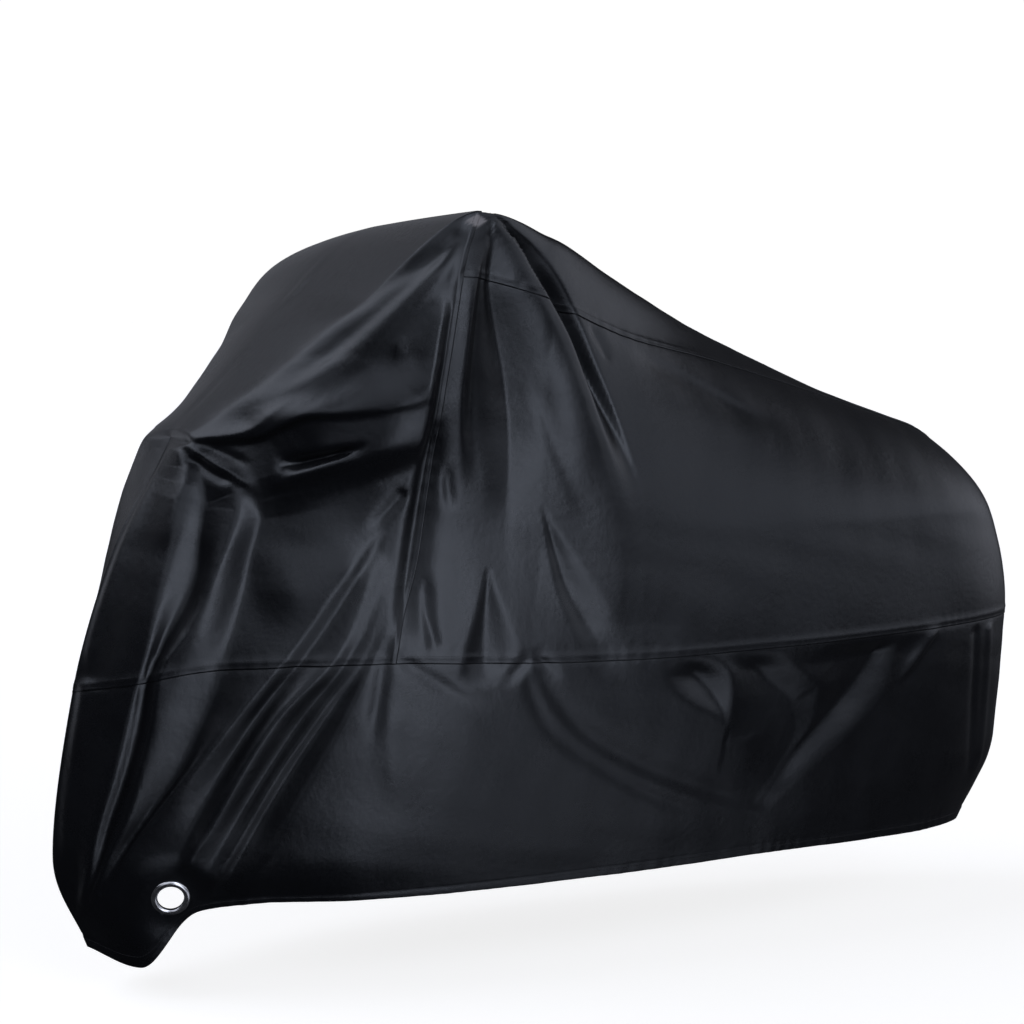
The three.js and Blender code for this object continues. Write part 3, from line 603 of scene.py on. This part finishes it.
# How far round a hole points are looked at, in its radii, and how near its rim they snap to it, in cells
HOLE_NEAR, HOLE_SNAP = 3, 0.55
MERGE_DISTANCE = 0.01


def cloth_panel(node, points, heights, hole=None):
    """A panel from a grid of points: quads with outward winding, less those in the hole, doubles merged on
    the nose and tail lines, lengths along the cloth as UV map, and fold heights and the painted highlight
    patch as attributes."""
    columns, rows = points.shape[:2]
    ids = np.arange(columns * rows).reshape(columns, rows)
    quads = np.stack([ids[:-1, :-1], ids[1:, :-1], ids[1:, 1:], ids[:-1, 1:]], axis=-1).reshape(-1, 4)
    flat = points.reshape(-1, 3)
    if hole is not None:
        centre, normal, radius = hole
        off = flat - centre
        off = off - (off @ normal)[:, None] * normal
        far = np.linalg.norm(off, axis=1)
        close = np.linalg.norm(flat - centre, axis=1) < HOLE_NEAR * radius
        snap = close & (np.abs(far - radius) < HOLE_SNAP * CELL * MM)
        flat = np.where(snap[:, None], flat + off * (radius / np.maximum(far, 1e-9) - 1)[:, None], flat)
        middle = np.where(close, far, 1)[quads].mean(axis=1)
        quads = quads[middle > radius]
    along = np.linalg.norm(np.diff(points, axis=0, prepend=points[:1]), axis=-1).cumsum(axis=0)
    up = np.linalg.norm(np.diff(points, axis=1, prepend=points[:, :1]), axis=-1).cumsum(axis=1)
    cut = np.stack([along, up], axis=-1).reshape(-1, 2)
    used, corners = np.unique(quads, return_inverse=True)
    mesh = new_mesh(f"{node}_cloth", flat[used], corners.reshape(-1, 4))
    uv = mesh.uv_layers.new(name="cut")
    uv.data.foreach_set("uv", cut[quads.ravel()].ravel())
    mesh.attributes.new("fold", "FLOAT", "POINT").data.foreach_set("value", heights.ravel()[used])
    mesh.attributes.new("pale", "FLOAT", "POINT").data.foreach_set("value", painted_highlight_patch(flat[used]))
    merge_doubles(mesh, MERGE_DISTANCE)
    mesh.shade_smooth()
    piece = new_piece(mesh, COVER_CLOTH)
    wall = piece.modifiers.new("thickness", "SOLIDIFY")
    wall.thickness = CLOTH_THICKNESS * MM
    wall.offset = -1
    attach(piece, "root")
    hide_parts(node)
    return piece


class Shade:
    """A shader socket for Python expressions: an operator on it adds the Math node that works it out."""

    def __init__(self, tree, socket=None):
        self.tree, self.socket = tree, socket

    def feed(self, target, value):
        """Links a value to a socket, or sets a plain one there."""
        if isinstance(value, Shade):
            self.tree.links.new(value.socket, target)
        else:
            target.default_value = value

    def node(self, kind, settings=None, inputs=None, output=0):
        """Any node: its settings are set first, then its sockets' values or links. Gives one output."""
        made = self.tree.nodes.new(kind)
        for key, value in (settings or {}).items():
            if key == "stops":
                while len(made.color_ramp.elements) < len(value):
                    made.color_ramp.elements.new(0.5)
                for element, (place, colour) in zip(made.color_ramp.elements, value):
                    element.position, element.color = place, colour
            else:
                setattr(made, key, value)
        for key, value in (inputs or {}).items():
            self.feed(made.inputs[key], value)
        return Shade(self.tree, made.outputs[output])

    def math(self, operation, *values):
        """A Math node on values or plain numbers."""
        return self.node("ShaderNodeMath", {"operation": operation}, dict(enumerate(values)))

    def __add__(self, other):
        return self.math("ADD", self, other)

    def __sub__(self, other):
        return self.math("SUBTRACT", self, other)

    def __rsub__(self, other):
        return self.math("SUBTRACT", other, self)

    def __mul__(self, other):
        return self.math("MULTIPLY", self, other)

    __radd__, __rmul__ = __add__, __mul__


def new_finish(name):
    """A new material, its shader node, and a Shade that adds nodes to it."""
    material = bpy.data.materials.new(name)
    material.use_nodes = True
    return material, material.node_tree.nodes["Principled BSDF"], Shade(material.node_tree)


def coated_polyester():
    """Dark blue-grey cloth with a soft sheen: a fine plain weave and a faint crinkle in bump, cloudy
    colour and gloss, a paler rub along the raised folds, and a painted highlight: a pale matt patch at the
    left peak."""
    material, shader, cloth = new_finish("coated_polyester")
    cut = cloth.node("ShaderNodeUVMap", {"uv_map": "cut"})
    warp = cloth.node("ShaderNodeSeparateXYZ", inputs={0: cut}, output=0)
    weft = cloth.node("ShaderNodeSeparateXYZ", inputs={0: cut}, output=1)
    yarn_gap = 0.0012
    pitch = 2 * np.pi / yarn_gap
    weave = cloth.math("SINE", warp * pitch) * cloth.math("SINE", weft * pitch)
    place = cloth.node("ShaderNodeTexCoord", output="Object")
    cloudy = cloth.node("ShaderNodeTexNoise", inputs={"Vector": place, "Scale": 9, "Detail": 4})
    crinkle = cloth.node("ShaderNodeTexNoise", inputs={
        "Vector": place, "Scale": 70, "Detail": 5, "Roughness": 0.6,
    })
    grain = cloth.node("ShaderNodeTexNoise", inputs={"Vector": place, "Scale": 900, "Detail": 2})
    raised = cloth.node("ShaderNodeAttribute", {"attribute_name": "fold"}, output="Fac")
    rub_rate, rub_least, rub_most, rounding = 0.03, 0.0, 0.6, 0.1
    rub = cloth.math("SMOOTH_MAX", raised * rub_rate, rub_least, rounding)
    rub = cloth.math("SMOOTH_MIN", rub, rub_most, rounding)
    tone = cloudy * 0.7 + grain * 0.3 + rub * 0.35
    colour = cloth.node("ShaderNodeValToRGB", {"stops": [
        (0.3, (0.0025, 0.0027, 0.0036, 1)),
        (0.8, (0.0050, 0.0054, 0.0070, 1)),
    ]}, {0: tone})
    # A pale matt patch at the left peak is a painted highlight, mixed into the colour and made rougher
    pale = cloth.node("ShaderNodeAttribute", {"attribute_name": "pale"}, output="Fac")
    highlight_grey = (0.22, 0.21, 0.21, 1)
    colour_with_highlight = cloth.node("ShaderNodeMix", {"data_type": "RGBA"}, {0: pale, 6: colour, 7: highlight_grey}, 2)
    cloth.feed(shader.inputs["Base Color"], colour_with_highlight)
    cloth.feed(shader.inputs["Roughness"], 0.22 + cloudy * 0.08 + grain * 0.05 - rub * 0.04 + pale * 0.3)
    fine = cloth.node("ShaderNodeBump", inputs={"Height": weave, "Distance": 0.00005, "Strength": 0.5})
    bump = cloth.node("ShaderNodeBump", inputs={
        "Height": crinkle, "Distance": 0.0009, "Strength": 0.6, "Normal": fine,
    })
    cloth.feed(shader.inputs["Normal"], bump)
    shader.inputs["Specular IOR Level"].default_value = 0.5
    shader.inputs["Specular Tint"].default_value = (0.88, 0.94, 1, 1)
    shader.inputs["Sheen Weight"].default_value = 0.03
    shader.inputs["Sheen Roughness"].default_value = 0.4
    return material


def thread_yarn():
    """Dark spun thread: fine cloudy colour and gloss, with the twist as bump."""
    material, shader, yarn = new_finish("thread_yarn")
    place = yarn.node("ShaderNodeTexCoord", output="Object")
    fibre = yarn.node("ShaderNodeTexNoise", inputs={"Vector": place, "Scale": 1400, "Detail": 3})
    colour = yarn.node("ShaderNodeValToRGB", {"stops": [
        (0.3, (0.006, 0.006, 0.008, 1)),
        (0.7, (0.016, 0.017, 0.021, 1)),
    ]}, {0: fibre})
    yarn.feed(shader.inputs["Base Color"], colour)
    yarn.feed(shader.inputs["Roughness"], 0.45 + fibre * 0.2)
    twist = yarn.node("ShaderNodeBump", inputs={"Height": fibre, "Distance": 0.0002, "Strength": 0.5})
    yarn.feed(shader.inputs["Normal"], twist)
    return material


STITCH_PITCH, STITCH_LENGTH, THREAD_RADIUS = 6, 4.4, 0.45


def stitch_row(points, normals):
    """Places along a row of stitches: centres one pitch apart, the way along it and the way out."""
    length = np.concatenate([[0], np.cumsum(np.linalg.norm(np.diff(points, axis=0), axis=1))])
    at = np.arange(0.5 * STITCH_PITCH * MM, length[-1], STITCH_PITCH * MM)

    def sample(values):
        return np.stack([np.interp(at, length, values[:, k]) for k in range(3)], axis=-1)
    return sample(points), unit(sample(np.gradient(points, axis=0))), unit(sample(normals))


def stitch_object(name, rows):
    """Stitches along rows: each is a short square bar with tapered ends that dip into the cloth."""
    centres, ahead, out = [np.concatenate(parts) for parts in zip(*rows)]
    across = unit(np.cross(out, ahead))
    along = np.array([-0.5, -0.32, 0.32, 0.5]) * STITCH_LENGTH * MM
    swell = np.array([0.3, 1, 1, 0.3]) * THREAD_RADIUS * MM
    angle = np.radians([45, 135, 225, 315])
    bars = (
        centres[:, None, None]
        + along[:, None, None] * ahead[:, None, None]
        + np.multiply.outer(swell, np.cos(angle))[..., None] * across[:, None, None]
        + np.multiply.outer(swell, np.sin(angle))[..., None] * out[:, None, None]
    )
    ids = np.arange(len(along) * len(angle)).reshape(len(along), len(angle))
    after = np.roll(ids, -1, axis=1)
    sides = np.stack([ids[:-1], ids[1:], after[1:], after[:-1]], axis=-1).reshape(-1, 4)
    faces = np.concatenate([sides, ids[:1], ids[-1:, ::-1]])
    faces = (faces + ids.size * np.arange(len(centres))[:, None, None]).reshape(-1, 4)
    mesh = new_mesh(name, bars.reshape(-1, 3), faces)
    mesh.shade_smooth()
    piece = new_piece(mesh, THREAD)
    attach(piece, "root")
    return piece


COVER_CLOTH, THREAD = coated_polyester(), thread_yarn()
UPRIGHT_OVER = LAP_REACH / UPRIGHT_SPAN
# Stitch rows run a little in from the lapped edges
STITCH_INSET = 5
BELT_ROW, SEAM_ROW = BELT + STITCH_INSET / BELT_SPAN, SEAM + STITCH_INSET / SEAM_SPAN
UPRIGHT_ROW = PEAKS - STITCH_INSET / UPRIGHT_SPAN
ROW_STEP = 0.004


def level_row(first, last, share, lift):
    """A stitch row along the cover at one share of the section, from one station to another."""
    points, _, normals = drape(np.arange(first, last, ROW_STEP), [share], lift)
    return stitch_row(points[:, 0], normals[:, 0])


hood_stations = along_stations(NOSE, PEAKS, UPRIGHT_OVER)
hood_shares = both_sides(up_shares(BELT, RIDGE, LAP_SHARE))
hood_lift = np.maximum(level_lap(hood_shares, BELT, BELT_SPAN)[None], upright_lap(hood_stations)[:, None])
hood_points, hood_heights, _ = drape(hood_stations, hood_shares, hood_lift)
hood = cloth_panel("hood", hood_points, hood_heights)
upright_shares = np.arange(BELT, 2 - BELT, ROW_STEP)
upright_points, _, upright_normals = drape([UPRIGHT_ROW], upright_shares, upright_lap(UPRIGHT_ROW))
belt_lift = level_lap(BELT_ROW, BELT, BELT_SPAN)
hood_stitches = stitch_object("hood_stitches", [
    level_row(NOSE, PEAKS, BELT_ROW, belt_lift),
    level_row(NOSE, PEAKS, 2 - BELT_ROW, belt_lift),
    stitch_row(upright_points[0], upright_normals[0]),
])

# Top panel. One long strip of the same cloth covers the back and tail between the two top seams. It is
# widest at the peaks, sags between them, and laps over the side panels, where it is stitched.
top_stations = along_stations(PEAKS, TAIL)
top_shares = both_sides(up_shares(SEAM, RIDGE, LAP_SHARE))
top_lift = level_lap(top_shares, SEAM, SEAM_SPAN)[None]
top_points, top_heights, _ = drape(top_stations, top_shares, top_lift)
top_panel = cloth_panel("top_panel", top_points, top_heights)
seam_lift = level_lap(SEAM_ROW, SEAM, SEAM_SPAN)
top_stitches = stitch_object("top_panel_stitches", [
    level_row(PEAKS, TAIL, SEAM_ROW, seam_lift),
    level_row(PEAKS, TAIL, 2 - SEAM_ROW, seam_lift),
])

# Upper sides. A cut of cloth on each side hangs from the top seam to the belt seam. It is drawn up to
# the peak in front, where a fan of pleats spreads from it, and lies nearly flat towards the tail.
side_stations = along_stations(PEAKS, TAIL)
side_shares = up_shares(BELT, SEAM, LAP_SHARE)
for hand, shares, row in (("left", side_shares, BELT_ROW), ("right", 2 - side_shares[::-1], 2 - BELT_ROW)):
    points, heights, _ = drape(side_stations, shares, level_lap(shares, BELT, BELT_SPAN)[None])
    side = cloth_panel(f"side_{hand}", points, heights)
    stitches = stitch_object(f"side_{hand}_stitches", [level_row(PEAKS, TAIL, row, belt_lift)])

# Skirts. The lower cloth of each side runs from the belt seam to a turned and stitched hem. It is
# pulled towards its eyelet in front, hangs lowest under the nose, and is slack at the rear.
EYELET_CUT, HEM_INSET = 30, 4
HEM_ROW = (HEM_BAND - HEM_INSET) / HEM_SPAN
skirt_stations = along_stations(NOSE, TAIL)
skirt_shares = up_shares(HEM, BELT)
for hand, seat in zip(("left", "right"), EYELET_SEATS):
    on_left = hand == "left"
    points, heights, _ = drape(skirt_stations, skirt_shares if on_left else 2 - skirt_shares[::-1])
    opening = ((seat[0] - ORIGIN) * MM, seat[1], EYELET_CUT * MM)
    skirt = cloth_panel(f"skirt_{hand}", points, heights, opening)
    hem_row = level_row(NOSE, TAIL, HEM_ROW if on_left else 2 - HEM_ROW, 0)
    stitches = stitch_object(f"skirt_{hand}_stitches", [hem_row])

# Eyelets. A plated steel ring is pressed into each skirt in front. It has a domed flange with a rolled
# rim outside, a barrel through the cloth, and a flat flange inside.
EYELET_SIDES, EYELET_MERGE = 96, 0.001
# Radius and height above the cloth, in mm, once round the section of the ring
EYELET_PROFILE = np.array([
    (36.5, 0.3), (36.5, 1.2), (36, 2.1), (35, 2.9), (33.4, 3.8), (31.8, 4.3), (30.2, 4.4), (28.6, 4.3),
    (27, 3.8), (25.7, 2.9), (24.8, 1.7), (24.5, 0.3), (24.5, -2.8), (24.8, -3.3), (25.4, -3.5), (32.3, -3.5),
    (33, -3.1), (33, -2.3), (25.9, -2.3), (25.9, 0.3), (36.5, 0.3),
])


def plated_steel():
    """Bright plated steel with faint stains and fine scratches in colour, gloss and bump."""
    material, shader, plate = new_finish("plated_steel")
    place = plate.node("ShaderNodeTexCoord", output="Object")
    stain = plate.node("ShaderNodeTexNoise", inputs={"Vector": place, "Scale": 80, "Detail": 5})
    scratch = plate.node("ShaderNodeTexNoise", inputs={"Vector": place, "Scale": 900, "Detail": 3})
    colour = plate.node("ShaderNodeValToRGB", {"stops": [
        (0.3, (0.48, 0.49, 0.51, 1)),
        (0.6, (0.74, 0.75, 0.77, 1)),
    ]}, {0: stain})
    plate.feed(shader.inputs["Base Color"], colour)
    plate.feed(shader.inputs["Roughness"], 0.1 + stain * 0.14 + scratch * 0.08)
    marks = plate.node("ShaderNodeBump", inputs={"Height": scratch, "Distance": 0.0001, "Strength": 0.4})
    plate.feed(shader.inputs["Normal"], marks)
    shader.inputs["Metallic"].default_value = 1
    return material


def spun(radii, heights, sides):
    """Points and quads of a shape turned about +Z: rings of the given radii at the given heights."""
    angle = np.linspace(0, 2 * np.pi, sides, endpoint=False)
    flat = np.multiply.outer(radii, np.stack([np.cos(angle), np.sin(angle)], axis=-1))
    level = np.broadcast_to(np.reshape(heights, (-1, 1, 1)), flat.shape[:2] + (1,))
    ids = np.arange(len(radii) * sides).reshape(len(radii), sides)
    after = np.roll(ids, -1, axis=1)
    quads = np.stack([ids[:-1], after[:-1], after[1:], ids[1:]], axis=-1).reshape(-1, 4)
    return np.concatenate([flat, level], axis=-1).reshape(-1, 3), quads


STEEL = plated_steel()
for hand, (centre, normal) in zip(("left", "right"), EYELET_SEATS):
    ring, quads = spun(*EYELET_PROFILE.T, EYELET_SIDES)
    level_axis = unit(np.cross((0, 0, 1), normal))
    turn = np.stack([level_axis, np.cross(normal, level_axis), normal])
    mesh = new_mesh(f"eyelet_{hand}_ring", (ring @ turn + centre - ORIGIN) * MM, quads)
    merge_doubles(mesh, EYELET_MERGE, recalculate=True)
    mesh.shade_smooth()
    eyelet = new_piece(mesh, STEEL)
    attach(eyelet, "root")
    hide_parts(f"eyelet_{hand}")

# Floor and backdrop. A plain pale studio floor lies a little below the hem, and a pale dome far around
# it is the backdrop. Both glow, so that they look white, and neither throws light back on the cloth.
STUDIO_RADIUS, FLOOR_SIDES, BACKDROP_SIDES, BACKDROP_RINGS = 150, 96, 48, 16
FLOOR_RADII = np.array([0.0002, 4, 20, STUDIO_RADIUS])
FLOOR_GLOW, FLOOR_TONE, BACKDROP_GLOW, BACKDROP_TONE = 0.8, 0.5, 1.02, 0


def pale_paint(name, glow, tone):
    """Matt pale paint with an even glow of its own."""
    paint, shader, _ = new_finish(name)
    shader.inputs["Base Color"].default_value = (tone, tone, tone, 1)
    shader.inputs["Roughness"].default_value = 1
    shader.inputs["Specular IOR Level"].default_value = 0
    shader.inputs["Emission Color"].default_value = (1, 1, 1, 1)
    shader.inputs["Emission Strength"].default_value = glow
    return paint


def turned(name, radii, heights, sides, paint):
    """A stage piece turned about the upright axis: rings of the given radii at the given heights."""
    piece = new_piece(new_mesh(name, *spun(radii, heights, sides)), paint)
    piece.visible_glossy = piece.visible_diffuse = piece.visible_transmission = False
    return piece


floor_z = -ORIGIN[2] * MM
turned("studio_floor", FLOOR_RADII, np.full(len(FLOOR_RADII), floor_z), FLOOR_SIDES,
       pale_paint("pale_floor", FLOOR_GLOW, FLOOR_TONE))
rise = np.linspace(0, 0.5 * np.pi, BACKDROP_RINGS)[:-1]
backdrop = turned("studio_backdrop", STUDIO_RADIUS * np.cos(rise), floor_z + STUDIO_RADIUS * np.sin(rise),
                  BACKDROP_SIDES, pale_paint("pale_backdrop", BACKDROP_GLOW, BACKDROP_TONE))
backdrop.visible_shadow = False

# Light. A dim studio with soft-edged light panels round the cover: a bright tall one beside the camera
# with a low one under it, weaker ones along the side and low before the skirt, one towards the tail,
# several before and over the nose, and faint ones on the far side.
ROOM_FILL = 0.022
world = bpy.data.worlds.new("studio")
bpy.context.scene.world = world
world.use_nodes = True
sky = Shade(world.node_tree)
direction = sky.node("ShaderNodeTexCoord", output="Generated")
sky_x, sky_y, sky_z = [sky.node("ShaderNodeSeparateXYZ", inputs={0: direction}, output=k) for k in range(3)]
azimuth = sky.math("ARCTAN2", 0 - sky_x, 0 - sky_y)
elevation = sky.math("ARCSINE", sky_z)


def between(angle, low, high, edge):
    """1 where an angle lies between two bounds, in degrees, with a smooth step over each edge."""
    low, high, half = np.radians((low, high, edge / 2))
    step = {"interpolation_type": "SMOOTHSTEP"}
    begun = sky.node("ShaderNodeMapRange", step, {0: angle, 1: float(low - half), 2: float(low + half)})
    ended = sky.node("ShaderNodeMapRange", step, {0: angle, 1: float(high - half), 2: float(high + half)})
    return begun - ended


def panel(azimuths, elevations, strength, edge=10):
    """A light panel in the sky. Azimuths are measured from the left side towards the nose."""
    return between(azimuth, *azimuths, edge) * between(elevation, *elevations, edge) * strength


light = (
    panel((-12, 8), (-14, 40), 2.9, 12)
    + panel((-8, 10), (-33, -14), 2.0, 8)
    + panel((-62, -12), (-3, 46), 0.65)
    + panel((-46, -12), (-46, -20), 0.6, 8)
    + panel((-112, -62), (-5, 30), 0.66, 16)
    + panel((12, 48), (12, 46), 0.9)
    + panel((24, 46), (-10, 12), 0.65)
    + panel((48, 72), (20, 46), 0.95)
    + panel((80, 150), (29, 75), 1.7, 6)
    + panel((140, 200), (4, 46), 0.2)
    + panel((-200, -155), (4, 46), 0.2)
    + panel((130, 160), (-30, 12), 0.7)
    + ROOM_FILL
)
background = world.node_tree.nodes["Background"]
background.inputs["Color"].default_value = (0.94, 0.97, 1.1, 1)
sky.feed(background.inputs["Strength"], light)

# Camera, at the photograph's viewing angle, nearly level with the peaks and in front of the nose.
camera = bpy.data.objects.new("camera", bpy.data.cameras.new("camera"))
bpy.context.collection.objects.link(camera)
camera.location = (-1.942, -4.293, -0.143)
camera.rotation_euler = np.radians((85, 0, -27.555))
camera.data.sensor_width = 36
camera.data.lens = 84.375
bpy.context.scene.camera = camera
bpy.context.scene.view_settings.view_transform = "Standard"
